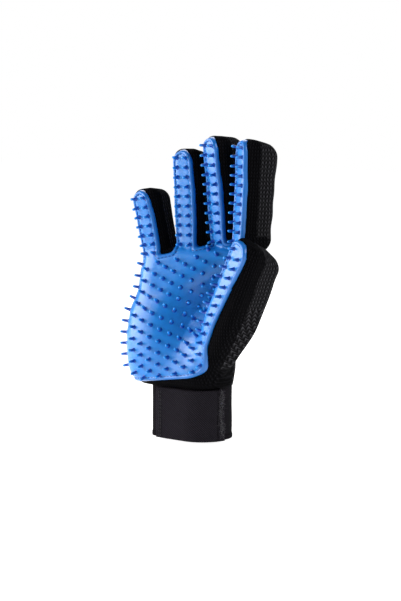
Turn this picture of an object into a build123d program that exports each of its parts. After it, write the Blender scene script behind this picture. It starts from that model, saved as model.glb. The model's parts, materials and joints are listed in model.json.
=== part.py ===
"""Right-hand pet-grooming glove.

A knitted five-finger shell carries a one-piece moulded rubber palm covered in soft nubs, and
ends in a woven wrist cuff that a hook-and-loop strap closes. Every finger bends at its knuckle
and at its middle joint, the thumb spreads and bends, and the strap peels open.

Frame, in millimetres: the origin is the centre of the wrist opening at the cuff's lower edge,
+Z runs up the hand, the palm faces -Y and the thumb is at +X.
"""
from build123d import *
import math
import os
from dataclasses import dataclass

os.makedirs("parts", exist_ok=True)

# Layers of the wall, as distances outside (+) or inside (-) the knit's outer face.
RUBBER_OUT = 0.6
KNIT_OUT = 0.0
KNIT_IN = -1.6
LINING_IN = -2.4

# Nubs.
NUB_FOOT_R = 1.35
NUB_TIP_R = 1.0
NUB_LENGTH = 5.0
NUB_SINK = 0.8
NUB_SIDE_STEP = 5.0
FINGER_PITCH = 6.2
FINGER_JOINT_CLEAR = 7.6
FINGER_END_CLEAR = 7.0
THUMB_ROOT_PITCH = 7.5
THUMB_ROOT_CLEAR = 9.5
THUMB_ROOT_ROWS = 7
PALM_STEP = 8.0
PALM_FIRST_ROW = 52.0
PALM_ROWS = 11
PALM_HALF_COLUMNS = 5
PALM_EDGE_CLEAR = 6.0
PALM_THUMB_CLEAR = 16.0
PALM_THUMB_LEAN = 0.35
PALM_THUMB_TOP = 118.0

# Joints. Every finger's hinge axis points the same way, so that neighbours clear each other.
FINGER_AXIS_YAW = 9.0
BEND_HALF_ANGLE = 30.0
SPREAD_HALF_ANGLE = 17.5
JOINT_GAP = 0.3
FOLD_GAP = 0.12
PALMAR_AXIS_DEPTH = 4.0
SPREAD_AXIS_OFFSET = 6.0
FAR = 60.0

# Finger sections.
DORSAL_R = 9.0
PALMAR_R = 6.0
TIP_R = 5.0
PAD_INSET = 0.9
PAD_END_R = 8.5
PAD_STOP = 4.0
GUSSET_TOP = 6.0
STUB_START = -12.0
STUB_PAST_JOINT = 20.0
THUMB_ROOT_START = 8.0


@dataclass
class Digit:
    """One finger or the thumb: where it leaves the hand, its section and its two joints."""

    name: str
    base: tuple
    direction: tuple
    yaw: float
    width: float
    depth: float
    length: float
    knuckle: float
    middle: float
    spreads: bool = False


DIGITS = [
    Digit("pinky", (-31, 0, 138), (-0.14, -0.12, 1), 4, 21.5, 23, 52, 11, 31),
    Digit("ring", (-5.5, 10, 146), (-0.03, -0.02, 1), 4, 22.5, 24, 73, 13, 42),
    Digit("middle", (21.5, 17.5, 150), (-0.02, -0.09, 1), 12, 22.5, 24.5, 80, 13, 44),
    Digit("index", (47.8, 11, 150), (0.04, 0.03, 1), 23, 22.5, 25, 77, 13, 43),
    Digit("thumb", (25.3, -12.5, 48), (0.515, -0.055, 1), 16, 27, 32, 117, 77, 94, True),
]

# Palm sections: height, centre x and y, half width, half thickness, corner radius, turn about Z.
PALM = [
    (41.5, -1.5, -2.5, 30.5, 22.5, 19.0, 0),
    (46.5, -3, -6, 36, 25, 20, 1),
    (58, -4, -8, 40, 25, 20, 4),
    (78, -3, -8, 43, 23, 19, 8),
    (95, -3, -6, 44, 20, 17, 8),
    (110, 1, 1.5, 44, 17, 15, 8),
    (125, 2, 3, 45, 16, 14, 8),
    (141, 5, 8, 48.5, 13.5, 12, 8),
]
PAD_BOTTOM = 43.5
PAD_REACH = 0.5
PAD_BAND = (-1.6, -PAD_REACH)
GUSSET_REACH = 0.45
WRIST_OVERLAP = 5.0
ZONE_SIDE = 1.0
ZONE_PAST_JOINT = 12.0
ZONE_PAST_PAD = 8.0

# Cuff.
CUFF_HALF_X = 29.5
CUFF_HALF_Y = 21.5
CUFF_R = 19.0
CUFF_WALL = 2.0
CUFF_TOP = 41.5
HEM_HEIGHT = 4.0
HEM_PROUD = 0.6
SLIT_X = -6.0
SLIT_WIDTH = 5.0
SLIT_TOP = 34.0
SLIT_CUT = (12.0, 1.0)
STRAP_LOW = 5.0
STRAP_HIGH = 39.0
STRAP_IN = 2.3
STRAP_OUT = 4.1
HOOK_IN = 1.3
LOOP_OUT = 1.0
LOOP_INSET = 1.0
HOOK_INSET = 3.0
SEWN_Y = -10.5
SEAM_GAP = 0.4
ANCHOR_WIDTH = 6.0
ANCHOR_CUT = 30.0
FREE_END_DEG = 252.0
HOOK_EDGE_X = 4.0
LOOP_EDGE_X = 13.0
STITCH = (0.5, 0.5, 2.6)
STITCH_PITCH = 4.2
STITCH_CLEAR = (4.0, 2.0)
HOOK_SEAM_INSET = 2.5
SCRAP = 12.0


def unit(vector):
    return Vector(*vector).normalized()


def digit_plane(digit):
    """Local frame of a digit: x towards the thumb side, y towards the back, z to the tip."""
    along = unit(digit.direction)
    turn = math.radians(digit.yaw)
    back = Vector(math.sin(turn), math.cos(turn), 0)
    back = (back - along * back.dot(along)).normalized()
    return Plane(origin=digit.base, x_dir=back.cross(along), z_dir=along)


def joint_plane(digit, distance, spreads):
    """Frame of a joint: x along its axis, z to the tip, -y the side that closes up."""
    frame = digit_plane(digit)
    if spreads:
        axis = frame.y_dir
        offset = frame.x_dir * SPREAD_AXIS_OFFSET
    else:
        turn = math.radians(digit.yaw if digit.spreads else FINGER_AXIS_YAW)
        axis = Vector(math.cos(turn), -math.sin(turn), 0)
        offset = frame.y_dir * (PALMAR_AXIS_DEPTH - digit.depth / 2)
    along = (frame.z_dir - axis * frame.z_dir.dot(axis)).normalized()
    return Plane(origin=frame.origin + frame.z_dir * distance + offset, x_dir=axis, z_dir=along)


def prism(frame, outline):
    """Long prism along a joint's axis, from points (y, z) in the joint's frame."""
    side = Plane(origin=frame.origin - frame.x_dir * FAR, x_dir=frame.y_dir, z_dir=frame.x_dir)
    return extrude(side * Polygon(*outline, align=None), 2 * FAR, dir=frame.x_dir)


def joint_face(half_angle, gap):
    """Points (y, z) of the upper face of a joint's gap: level at the back, raised at the palm."""
    rise = FAR * math.tan(math.radians(half_angle))
    return [(FAR, gap), (0, gap), (-FAR, gap + rise)]


def beyond(frame, half_angle, gap):
    """The space on the tip's side of a joint."""
    face = joint_face(half_angle, gap)
    return prism(frame, face + [(-FAR, 3 * FAR), (FAR, 3 * FAR)])


def before(frame, half_angle, gap):
    """The space on the wrist's side of a joint."""
    face = [(y, -z) for y, z in joint_face(half_angle, gap)]
    return prism(frame, face + [(-FAR, -4 * FAR), (FAR, -4 * FAR)])


def within(frame, half_angle, gap):
    """The gap of a joint, less a little clearance on both faces."""
    face = joint_face(half_angle, gap)
    return prism(frame, face + [(y, -z) for y, z in reversed(face)])


def knuckle(digit):
    frame = joint_plane(digit, digit.knuckle, digit.spreads)
    return frame, SPREAD_HALF_ANGLE if digit.spreads else BEND_HALF_ANGLE


def middle_joint(digit):
    return joint_plane(digit, digit.middle, False), BEND_HALF_ANGLE


def finger_section(digit, grow):
    """Finger section: wide round corners at the back, tighter ones beside the pad."""
    shape = Rectangle(digit.width + 2 * grow, digit.depth + 2 * grow)
    corners = shape.vertices().sort_by(Axis.Y)
    shape = fillet(corners[2:], DORSAL_R + grow)
    return fillet(shape.vertices().sort_by(Axis.Y)[:2], PALMAR_R + grow)


def finger_body(digit, grow, low, high, round_end=False):
    """Solid finger from low to high along its own axis."""
    body = extrude(Pos(0, 0, low) * finger_section(digit, grow), high - low)
    if round_end:
        body = fillet(body.faces().sort_by(Axis.Z)[-1].edges(), TIP_R + grow)
    return body


def finger_knit(digit):
    """Closed-ended knit tube of a whole finger, in its own frame, without its palmar wall."""
    outer = finger_body(digit, KNIT_OUT, 0, digit.length, True)
    inner = finger_body(digit, KNIT_IN, -1, digit.length + KNIT_IN, True)
    reach = digit.length - PAD_STOP
    palmar = Pos(0, -digit.depth / 2, reach / 2) * Box(2 * FAR, -2 * KNIT_IN, reach)
    return outer - inner - palmar


def finger_back_zone(digit):
    """Space of the back panel: the back of the finger and the cap over its tip."""
    back = Pos(0, digit.depth / 2, digit.length / 2) * Box(FAR, 2 * GUSSET_TOP, 2 * FAR + digit.length)
    cap = Pos(0, 0, digit.length) * Box(FAR, FAR, 2 * (TIP_R + 1))
    return back + cap


def nub(x, y, z):
    """One nub on a finger pad, pointing out of the palm."""
    height = NUB_LENGTH + NUB_SINK
    return Pos(x, y + NUB_SINK - height / 2, z) * Rot(90, 0, 0) * Cone(NUB_FOOT_R, NUB_TIP_R, height)


def nub_rows(digit):
    """Distances of the nub rows: one at each joint, and the rest spread evenly between."""
    rows = [digit.knuckle, digit.middle]
    spans = [
        (digit.knuckle + FINGER_JOINT_CLEAR, digit.middle - FINGER_JOINT_CLEAR),
        (digit.middle + FINGER_JOINT_CLEAR, digit.length - FINGER_END_CLEAR),
    ]
    for low, high in spans:
        steps = max(int((high - low) / FINGER_PITCH), 0)
        rows += [low + (high - low) * k / max(steps, 1) for k in range(steps + 1) if high >= low]
    return rows


def finger_pad(digit):
    """Rubber strip of a whole finger with its nubs, in the finger's own frame."""
    thick = RUBBER_OUT - KNIT_IN
    y = -digit.depth / 2 - RUBBER_OUT
    width = digit.width - 2 * PAD_INSET
    high = digit.length - PAD_STOP
    strip = Pos(0, y + thick / 2, high / 2) * Box(width, thick, high)
    ends = strip.edges().filter_by(Axis.Y).sort_by(Axis.Z)[-2:]
    strip = fillet(ends, PAD_END_R)
    nubs = [nub(x, y, z) for z in nub_rows(digit) for x in (-NUB_SIDE_STEP, NUB_SIDE_STEP)]
    return strip + nubs


def palm_loft(grow, floor=None):
    """Solid of the palm and the thumb's root, grown outwards by a distance."""
    top = PALM[-1][0]
    sections = []
    for z, x, y, half_x, half_y, radius, turn in PALM:
        shape = RectangleRounded(2 * (half_x + grow), 2 * (half_y + grow), radius + grow)
        level = z + min(grow, 0) if z == top else z
        sections.append(Pos(x, y, level) * Rot(0, 0, turn) * shape)
    body = loft(sections, ruled=True)
    if floor is not None:
        body += extrude(sections[0], -floor)
    return body


def hand_body(grow, open_ends=False):
    """Palm, thumb root and finger stubs as one solid; open ends run past the joints."""
    body = palm_loft(grow, WRIST_OVERLAP if open_ends else None)
    for digit in DIGITS:
        low = THUMB_ROOT_START if digit.spreads else STUB_START
        stub = finger_body(digit, grow, low, digit.knuckle + STUB_PAST_JOINT)
        stub = digit_plane(digit) * stub
        if not open_ends:
            frame, half_angle = knuckle(digit)
            stub = stub & before(frame, half_angle, JOINT_GAP)
        body += stub
    return body


def palm_band(low, high):
    """Space across the palm between two fractions of its half thickness (-1 palm, +1 back)."""
    sections = []
    for z, x, y, half_x, half_y, radius, turn in PALM:
        band = Pos(0, (low + high) / 2 * half_y) * Rectangle(4 * half_x, (high - low) * half_y)
        sections.append(Pos(x, y, z) * Rot(0, 0, turn) * band)
    return loft(sections, ruled=True)


def stub_band(digit, low, high):
    """The same space over a finger's stub or the thumb's root."""
    start = THUMB_ROOT_START if digit.spreads else STUB_START + ZONE_SIDE
    end = digit.knuckle + ZONE_PAST_JOINT
    box = Box(digit.width + 2 * ZONE_SIDE, high - low, end - start)
    return digit_plane(digit) * Pos(0, (low + high) / 2, (start + end) / 2) * box


def pad_zone():
    """Where the rubber covers the hand: the palm, the thumb's root and every stub."""
    zone = palm_band(*PAD_BAND)
    zone -= Pos(0, 0, PAD_BOTTOM - FAR) * Box(4 * FAR, 4 * FAR, 2 * FAR)
    for digit in DIGITS:
        zone += stub_band(digit, -digit.depth / 2 - ZONE_PAST_PAD, -digit.depth / 2 - KNIT_IN)
    return zone


def gusset_zone():
    """Where the darker side strips run between the pad and the knit back."""
    zone = palm_band(-PAD_REACH, GUSSET_REACH)
    for digit in DIGITS:
        zone += stub_band(digit, -digit.depth / 2 - KNIT_IN, digit.depth / 2 - GUSSET_TOP)
    return zone


def cuff_outline(grow):
    return RectangleRounded(2 * (CUFF_HALF_X + grow), 2 * (CUFF_HALF_Y + grow), CUFF_R + grow)


def cuff_side_x(y, grow):
    """x of the cuff's outline on the thumb side, at y."""
    past_flat = max(0.0, abs(y) - (CUFF_HALF_Y - CUFF_R))
    return CUFF_HALF_X - CUFF_R + math.sqrt((CUFF_R + grow) ** 2 - past_flat**2)


def cuff_ring(inner, outer, low, high):
    """Band around the wrist between two offsets of the cuff's outer face."""
    return extrude(Pos(0, 0, low) * (cuff_outline(outer) - cuff_outline(inner)), high - low)


def palmar_sector(high_x, low_x=None):
    """Upright space over the palmar side, from the free end round to x = high_x."""
    turn = math.radians(FREE_END_DEG)
    centre = (CUFF_R - CUFF_HALF_X, CUFF_R - CUFF_HALF_Y)
    tip = (centre[0] + 2 * FAR * math.cos(turn), centre[1] + 2 * FAR * math.sin(turn))
    points = [centre, tip, (high_x, -2 * FAR), (high_x, SEWN_Y), (0, SEWN_Y)]
    return extrude(Polygon(*points, align=None), CUFF_TOP + WRIST_OVERLAP, dir=(0, 0, 1))


def slit():
    """The cuff's opening under the strap."""
    depth, below = SLIT_CUT
    return Pos(SLIT_X, -CUFF_HALF_Y, SLIT_TOP / 2 - below) * Box(SLIT_WIDTH, depth, SLIT_TOP + 2 * below)


def wrist_band():
    return cuff_ring(-CUFF_WALL, 0, HEM_HEIGHT, CUFF_TOP) - slit()


def band_hem():
    return cuff_ring(-CUFF_WALL, HEM_PROUD, 0, HEM_HEIGHT) - slit()


def loop_patch():
    """Loop tape on the cuff, on both sides of the slit."""
    tape = cuff_ring(0, LOOP_OUT, STRAP_LOW + LOOP_INSET, STRAP_HIGH - LOOP_INSET)
    return (tape & palmar_sector(LOOP_EDGE_X)) - slit()


def hook_patch():
    """Hook tape on the inner face of the strap's free end."""
    tape = cuff_ring(HOOK_IN, STRAP_IN, STRAP_LOW + HOOK_INSET, STRAP_HIGH - HOOK_INSET)
    return tape & palmar_sector(HOOK_EDGE_X)


def strap():
    tape = cuff_ring(STRAP_IN, STRAP_OUT, STRAP_LOW, STRAP_HIGH)
    return tape & palmar_sector(FAR)


def anchor_middle_y():
    return SEWN_Y + SEAM_GAP + ANCHOR_WIDTH / 2


def strap_anchor():
    """Folded end of the strap, sewn to the cuff beside the peel line."""
    block = cuff_ring(0, STRAP_OUT, STRAP_LOW, STRAP_HIGH)
    zone = Pos(CUFF_HALF_X, anchor_middle_y(), 0) * Box(ANCHOR_CUT, ANCHOR_WIDTH, 4 * FAR)
    return block & zone


def upright_stitches(x, y):
    """A line of separate thread stitches up the cuff."""
    low, high = STRAP_LOW + STITCH_CLEAR[0], STRAP_HIGH - STITCH_CLEAR[1]
    heights = [low + k * STITCH_PITCH for k in range(int((high - low) / STITCH_PITCH) + 1)]
    return Compound([Pos(x, y, z) * Box(*STITCH) for z in heights])


def anchor_stitches():
    """Stitches through the anchor, clear of its curved face over their whole width."""
    y = anchor_middle_y()
    return upright_stitches(cuff_side_x(y + STITCH[1] / 2, STRAP_OUT) + STITCH[0] / 2, y)


def strap_stitches():
    """Stitches through the strap that hold its hook tape."""
    return upright_stitches(HOOK_EDGE_X - HOOK_SEAM_INSET, -CUFF_HALF_Y - STRAP_OUT - STITCH[1] / 2)


def palm_nubs():
    """Staggered rows of nubs over the palm, on the rubber's own face."""
    nubs = []
    for row in range(PALM_ROWS):
        z = PALM_FIRST_ROW + row * PALM_STEP
        for column in range(-PALM_HALF_COLUMNS, PALM_HALF_COLUMNS + 1):
            x = (column + 0.5 * (row % 2)) * PALM_STEP
            point = palm_point(x, z)
            if point is not None:
                nubs.append(palm_nub(*point))
    return nubs


def palm_section(z):
    """Palm section at a height, between the two that bracket it."""
    for lower, upper in zip(PALM, PALM[1:]):
        if lower[0] <= z <= upper[0]:
            part = (z - lower[0]) / (upper[0] - lower[0])
            return [a + part * (b - a) for a, b in zip(lower, upper)]
    return None


def palm_point(x, z):
    """Foot of a palm nub at x across the section, or nothing where the pad's flat face ends."""
    section = palm_section(z)
    if section is None:
        return None
    _, centre_x, centre_y, half_x, half_y, radius, turn = section
    if abs(x) > half_x - PALM_EDGE_CLEAR or z < PAD_BOTTOM + PALM_EDGE_CLEAR:
        return None
    lean_in = max(0.0, PALM_THUMB_TOP - z) * PALM_THUMB_LEAN
    thumb_edge = centre_x + half_x - PALM_THUMB_CLEAR - lean_in
    if x + centre_x > thumb_edge:
        return None
    across = max(0.0, abs(x) - (half_x - radius))
    y = -half_y + radius - math.sqrt(radius**2 - across**2)
    turn = math.radians(turn)
    place = (
        centre_x + x * math.cos(turn) - y * math.sin(turn),
        centre_y + x * math.sin(turn) + y * math.cos(turn),
        z,
    )
    lean = math.asin(across / radius) * math.copysign(1, x) + turn
    return place, lean


def palm_nub(place, lean):
    """Nub standing square to the palm."""
    height = NUB_LENGTH + NUB_SINK
    out = Vector(math.sin(lean), -math.cos(lean), 0)
    frame = Plane(origin=Vector(*place) + out * (RUBBER_OUT - NUB_SINK + height / 2), z_dir=out)
    return frame * Cone(NUB_FOOT_R, NUB_TIP_R, height)


def thumb_root_nubs(digit):
    """Paired nubs along the thumb's root, up to its spreading joint."""
    frame = digit_plane(digit)
    y = -digit.depth / 2 - RUBBER_OUT
    rows = [digit.knuckle - THUMB_ROOT_CLEAR - THUMB_ROOT_PITCH * k for k in range(THUMB_ROOT_ROWS)]
    return [frame * nub(x, y, z) for z in rows for x in (-NUB_SIDE_STEP, NUB_SIDE_STEP)]


def make_hand():
    """The palm's four layers (knit back, side strips, lining, rubber pad) and the pad's nubs."""
    knit_outer = hand_body(KNIT_OUT)
    knit_inner = hand_body(KNIT_IN, open_ends=True)
    shell = knit_outer - knit_inner
    pads = pad_zone()
    gussets = gusset_zone()
    rest = shell - pads
    rubber = (hand_body(RUBBER_OUT) - knit_inner) & pads
    lining = hand_body(KNIT_IN) - hand_body(LINING_IN, open_ends=True)
    nubs = palm_nubs() + thumb_root_nubs(DIGITS[-1])
    return {
        "palm_back": rest - gussets,
        "palm_side_strips": rest & gussets,
        "palm_lining": lining & palm_band(*PAD_BAND),
        "palm_pad": rubber,
        "palm_nubs": Compound([part for nub_solid in nubs for part in (nub_solid - rubber).solids()]),
    }


def make_digit(digit):
    """The six rigid pieces of a digit and the two soft ones that bridge its joints."""
    place = digit_plane(digit)
    knit = finger_knit(digit)
    zone = finger_back_zone(digit)
    layers = {"back": place * (knit & zone), "sides": place * (knit - zone), "pad": place * finger_pad(digit)}
    first, first_angle = knuckle(digit)
    second, second_angle = middle_joint(digit)
    base_zone = beyond(first, first_angle, JOINT_GAP) & before(second, second_angle, JOINT_GAP)
    tip_zone = beyond(second, second_angle, JOINT_GAP)
    fold_zones = [within(first, first_angle, FOLD_GAP), within(second, second_angle, FOLD_GAP)]
    nodes = {}
    for layer, solid in layers.items():
        nodes[f"{digit.name}_base_{layer}"] = solid & base_zone
        nodes[f"{digit.name}_tip_{layer}"] = solid & tip_zone
    knit_tube = place * knit
    nodes[f"{digit.name}_knit_folds"] = Compound([s for z in fold_zones for s in (knit_tube & z).solids()])
    nodes[f"{digit.name}_pad_bends"] = Compound([s for z in fold_zones for s in (layers["pad"] & z).solids()])
    return nodes


def write(name, shape):
    """Write one node as a group of its separate solids, less the scraps that trimming leaves."""
    solids = [solid for solid in shape.solids() if solid.volume > SCRAP or name.endswith("stitches")]
    export_step(solids[0] if len(solids) == 1 else Compound(solids), f"parts/{name}.step")


def main():
    nodes = {
        "wrist_band": wrist_band(),
        "band_hem": band_hem(),
        "loop_patch": loop_patch(),
        "hook_patch": hook_patch(),
        "strap": strap(),
        "strap_anchor": strap_anchor(),
        "anchor_stitches": anchor_stitches(),
        "strap_stitches": strap_stitches(),
    }
    for digit in DIGITS:
        nodes.update(make_digit(digit))
    nodes.update(make_hand())
    for name, shape in nodes.items():
        write(name, shape)


main()
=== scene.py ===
"""Looks of the grooming glove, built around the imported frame.

The hand is one smooth field (palm, thumb root, five digits). The knit shell, its lining and the
moulded rubber pad are surfaces of that field, cut where each digit's joints take over.
"""
import json
import math

import bpy
import numpy as np
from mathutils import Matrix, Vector

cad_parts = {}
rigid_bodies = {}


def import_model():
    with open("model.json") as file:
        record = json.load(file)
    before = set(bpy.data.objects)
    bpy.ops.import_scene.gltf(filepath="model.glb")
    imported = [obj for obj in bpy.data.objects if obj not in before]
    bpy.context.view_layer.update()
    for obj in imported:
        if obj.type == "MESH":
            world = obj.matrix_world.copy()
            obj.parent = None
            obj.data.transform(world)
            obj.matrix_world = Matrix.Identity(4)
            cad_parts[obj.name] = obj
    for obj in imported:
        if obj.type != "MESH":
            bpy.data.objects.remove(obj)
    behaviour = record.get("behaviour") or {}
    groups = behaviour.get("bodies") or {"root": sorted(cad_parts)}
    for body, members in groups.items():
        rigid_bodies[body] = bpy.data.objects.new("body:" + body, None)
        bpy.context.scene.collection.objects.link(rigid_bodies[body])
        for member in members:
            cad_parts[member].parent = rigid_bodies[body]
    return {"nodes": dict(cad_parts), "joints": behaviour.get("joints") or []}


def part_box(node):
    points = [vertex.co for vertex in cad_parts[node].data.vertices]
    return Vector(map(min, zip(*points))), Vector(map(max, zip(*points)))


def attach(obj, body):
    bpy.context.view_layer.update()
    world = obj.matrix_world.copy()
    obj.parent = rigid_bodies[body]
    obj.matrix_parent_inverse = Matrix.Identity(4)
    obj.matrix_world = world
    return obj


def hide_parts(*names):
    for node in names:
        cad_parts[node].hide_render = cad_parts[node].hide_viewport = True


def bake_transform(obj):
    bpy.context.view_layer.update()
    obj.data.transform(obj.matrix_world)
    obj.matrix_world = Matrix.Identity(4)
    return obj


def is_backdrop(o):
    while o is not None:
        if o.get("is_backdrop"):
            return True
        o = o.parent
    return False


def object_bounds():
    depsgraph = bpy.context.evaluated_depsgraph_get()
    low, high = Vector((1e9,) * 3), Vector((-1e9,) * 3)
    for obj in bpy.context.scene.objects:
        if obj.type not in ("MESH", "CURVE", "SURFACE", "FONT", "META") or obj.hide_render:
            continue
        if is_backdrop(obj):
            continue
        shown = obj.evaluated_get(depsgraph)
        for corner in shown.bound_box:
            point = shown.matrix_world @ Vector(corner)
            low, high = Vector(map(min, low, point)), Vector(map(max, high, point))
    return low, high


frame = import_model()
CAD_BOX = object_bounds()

MM = 0.001
RANDOM = np.random.default_rng(7)

# The hand's layers, in millimetres: the knit, then the rubber pad with its bead rim and stitches.
KNIT_WALL = 1.6
PAD_THICK = 1.7
BEAD_R = 1.25
BEAD_SINK = 0.35
STITCH_INSET = 2.6
STITCH_PITCH = 3.1

# Nubs, in millimetres: pitches along the fingers, along the thumb and over the palm.
NUB_R = 1.12
NUB_FOOT_R = 1.75
NUB_HEIGHT = 5.2
NUB_PITCH = 7.1
NUB_SPREAD = 4.0
THUMB_PITCH = 8.4
PALM_PITCH = 8.6
PALM_LATTICE_DEG = -80.0
PALM_LATTICE_AT = (4.0, 95.0)
NUB_FROM_EDGE = 2.8
NUB_OFF_SKIN = 0.5
NUB_GAP = 6.6

# Turn of each digit's palm face about Z, in degrees, and how far a tip reaches past its CAD tip.
TURN = {"pinky": -4.0, "ring": -7.0, "middle": 10.0, "index": 24.0, "thumb": 16.0}
NAMES = list(TURN)
LONGER = {"thumb": 3.0}
FINGERS = ("pinky", "ring", "middle", "index")
SPREAD_AXIS_OFFSET = 6.0
SECTION_R = 8.2
TIP_R = 8.5
FINGER_TIP_FALL, THUMB_TIP_FALL = 0.24, 0.42
ROOT_DEPTH = 14.0
THUMB_ROOT = 66.0

# Zones along each digit, from its first joint: the first one's start, where they meet, the end.
ZONES = {
    "pinky": (-8.5, 9.5, 30.0),
    "ring": (-8.5, 14.5, 40.0),
    "middle": (-8.5, 15.0, 42.0),
    "index": (-8.5, 15.0, 41.0),
    "thumb": (0.5, 13.5, 25.5),
}

# Palm sections: height, centre x and y, half width, half thickness, corner radius, turn (degrees).
PALM = np.array([
    (36, 0.0, -0.3, 29.8, 21.8, 19.0, 0),
    (40, -0.3, -0.8, 30.0, 22.0, 19.2, 0),
    (43, -3.0, -5.0, 36.0, 24.5, 20.0, 1),
    (48, -4.0, -7.5, 38.5, 25.5, 20.0, 2),
    (58, -4.0, -8.0, 39.8, 25.2, 20.0, 4),
    (78, -3.5, -8.0, 42.5, 23.0, 19.5, 10),
    (95, -3.0, -5.5, 43.5, 20.0, 18.0, 14),
    (110, 0.5, 1.0, 44.0, 17.0, 15.5, 16),
    (125, 3.5, 4.0, 46.5, 15.0, 13.5, 17),
    (141, 8.0, 9.0, 49.0, 13.0, 12.0, 17),
    (150, 8.0, 9.0, 49.0, 13.0, 12.0, 17),
], float)
PALM_TOP = 143.0
PAD_FLOOR = 41.4
PAD_FLOOR_SLOPE = 0.15
PAD_CORNER_R = 17.0


# ---------------------------------------------------------------- the digits, from the frame


def vec(values):
    return np.array(values, float)


def unit(v):
    return v / np.linalg.norm(v)


def node_points(*names):
    """All vertices of some CAD nodes, in millimetres."""
    parts = []
    for name in names:
        mesh = frame["nodes"][name].data
        flat = np.zeros(len(mesh.vertices) * 3, np.float32)
        mesh.vertices.foreach_get("co", flat)
        parts.append(flat.reshape(-1, 3) / MM)
    return np.concatenate(parts).astype(float)


JOINTS = {(j["parent"], j["child"]): j for j in frame["joints"]}


class Digit:
    """A digit's own frame: x to the thumb side, y to the back, z to the tip, 0 at its first joint."""

    def __init__(self, name):
        self.name = name
        self.base_body, self.tip_body = f"{name}_base", f"{name}_tip"
        first = JOINTS[("hand", self.base_body)]
        second = JOINTS[(self.base_body, self.tip_body)]
        p1, p2 = vec(first["pos_m"]) / MM, vec(second["pos_m"]) / MM
        if name == "thumb":
            self.y = unit(vec(first["axis"]))
            flat = p2 - p1
            flat -= self.y * (flat @ self.y)
            self.second = math.sqrt(flat @ flat - SPREAD_AXIS_OFFSET**2)
            lean = math.atan2(SPREAD_AXIS_OFFSET, self.second)
            side = np.cross(self.y, flat)
            self.z = unit(flat * math.cos(lean) + side * math.sin(lean))
        else:
            self.z = unit(p2 - p1)
            self.second = float(np.linalg.norm(p2 - p1))
            turn = math.radians(TURN[name])
            back = vec([math.sin(turn), math.cos(turn), 0])
            self.y = unit(back - self.z * (back @ self.z))
        self.x = np.cross(self.y, self.z)
        sides = node_points(f"{name}_base_sides")
        self.half_x = np.ptp(sides @ self.x) / 2
        tube = node_points(f"{name}_base_back", f"{name}_base_pad", f"{name}_base_sides")
        across = (sides @ self.x).max() + (sides @ self.x).min()
        top = (tube @ self.y).max()
        low = (sides @ self.y).min() - KNIT_WALL
        self.half_y = (top - low) / 2
        origin = p1 + self.x * (across / 2 - p1 @ self.x)
        self.origin = origin + self.y * ((top + low) / 2 - origin @ self.y)
        tip = float((node_points(f"{name}_tip_back") @ self.z).max() - self.origin @ self.z)
        self.tip = tip + LONGER.get(name, 0.0)

    def local(self, points):
        rel = points - self.origin.astype(points.dtype)
        return tuple(rel @ axis.astype(rel.dtype) for axis in (self.x, self.y, self.z))

    def world(self, x, y, z):
        return self.origin + self.x * x + self.y * y + self.z * z


DIGITS = {name: Digit(name) for name in TURN}


# ---------------------------------------------------------------- the hand as a smooth field


def smooth_min(a, b, k):
    h = np.clip(0.5 + 0.5 * (b - a) / k, 0, 1)
    return b + (a - b) * h - k * h * (1 - h)


def both(a, b, r):
    """Intersection of two fields with its edge rounded to radius r."""
    qa, qb = a + r, b + r
    return np.hypot(np.maximum(qa, 0), np.maximum(qb, 0)) + np.minimum(np.maximum(qa, qb), 0) - r


def rounded_box(x, y, half_x, half_y, r):
    qx, qy = np.abs(x) - half_x + r, np.abs(y) - half_y + r
    return np.hypot(np.maximum(qx, 0), np.maximum(qy, 0)) + np.minimum(np.maximum(qx, qy), 0) - r


def bump(t, centre, width):
    return np.exp(-(((t - centre) / width) ** 2))


def ramp(t, low, high):
    s = np.clip((t - low) / (high - low), 0, 1)
    return s * s * (3 - 2 * s)


PALM_Z = np.arange(36.0, 152.0, 1.0)
PALM_SMOOTHING = 3.2
KERNEL_REACH = 14


def smoothed_palm():
    """The palm's section values at every millimetre of height, smoothed along it."""
    kernel = np.exp(-(np.arange(-KERNEL_REACH, KERNEL_REACH + 1) / PALM_SMOOTHING) ** 2)
    kernel /= kernel.sum()
    columns = []
    for column in range(1, PALM.shape[1]):
        values = np.interp(PALM_Z, PALM[:, 0], PALM[:, column])
        columns.append(np.convolve(np.pad(values, KERNEL_REACH, mode="edge"), kernel, "valid"))
    return columns


PALM_COLUMNS = smoothed_palm()


def palm_at(z):
    return [np.interp(z, PALM_Z, column).astype(np.float32) for column in PALM_COLUMNS]


def palm_local(points):
    """Coordinates across the palm's own section, and its half width and thickness there."""
    cx, cy, hx, hy, r, turn = palm_at(points[:, 2])
    a = np.radians(turn)
    dx, dy = points[:, 0] - cx, points[:, 1] - cy
    return dx * np.cos(a) + dy * np.sin(a), dy * np.cos(a) - dx * np.sin(a), hx, hy, r


# The palm's hollow: height, where it starts across the palm, and its depth beside the thumb.
HOLLOW = np.array([
    (54, -27, 0.0), (66, -27, 2.0), (76, -27, 6.0), (87, -27, 11.0), (100, -25, 14.5),
    (115, -19, 14.0), (128, -12, 8.5), (138, -8, 3.5), (148, -8, 0.0),
], float)
HOLLOW_RUN = 36.0
HOLLOW_EASE = 0.45
HOLLOW_SLOPE = 0.9
HOLLOW_EDGE_R = 6.0
PALM_TOP_R = 7.0
PALM_CROWN = 1.5


def palm_hollow(x, z):
    """How far the cupped palm sinks behind its rim: deepest beside the thumb's root."""
    start = np.interp(z, HOLLOW[:, 0], HOLLOW[:, 1])
    depth = np.interp(z, HOLLOW[:, 0], HOLLOW[:, 2])
    t = np.clip((x - start) / HOLLOW_RUN, 0, 1)
    eased = np.where(t < HOLLOW_EASE, t * t / (2 * HOLLOW_EASE), t - HOLLOW_EASE / 2)
    return (depth * eased / (1 - HOLLOW_EASE / 2)).astype(np.float32)


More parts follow.
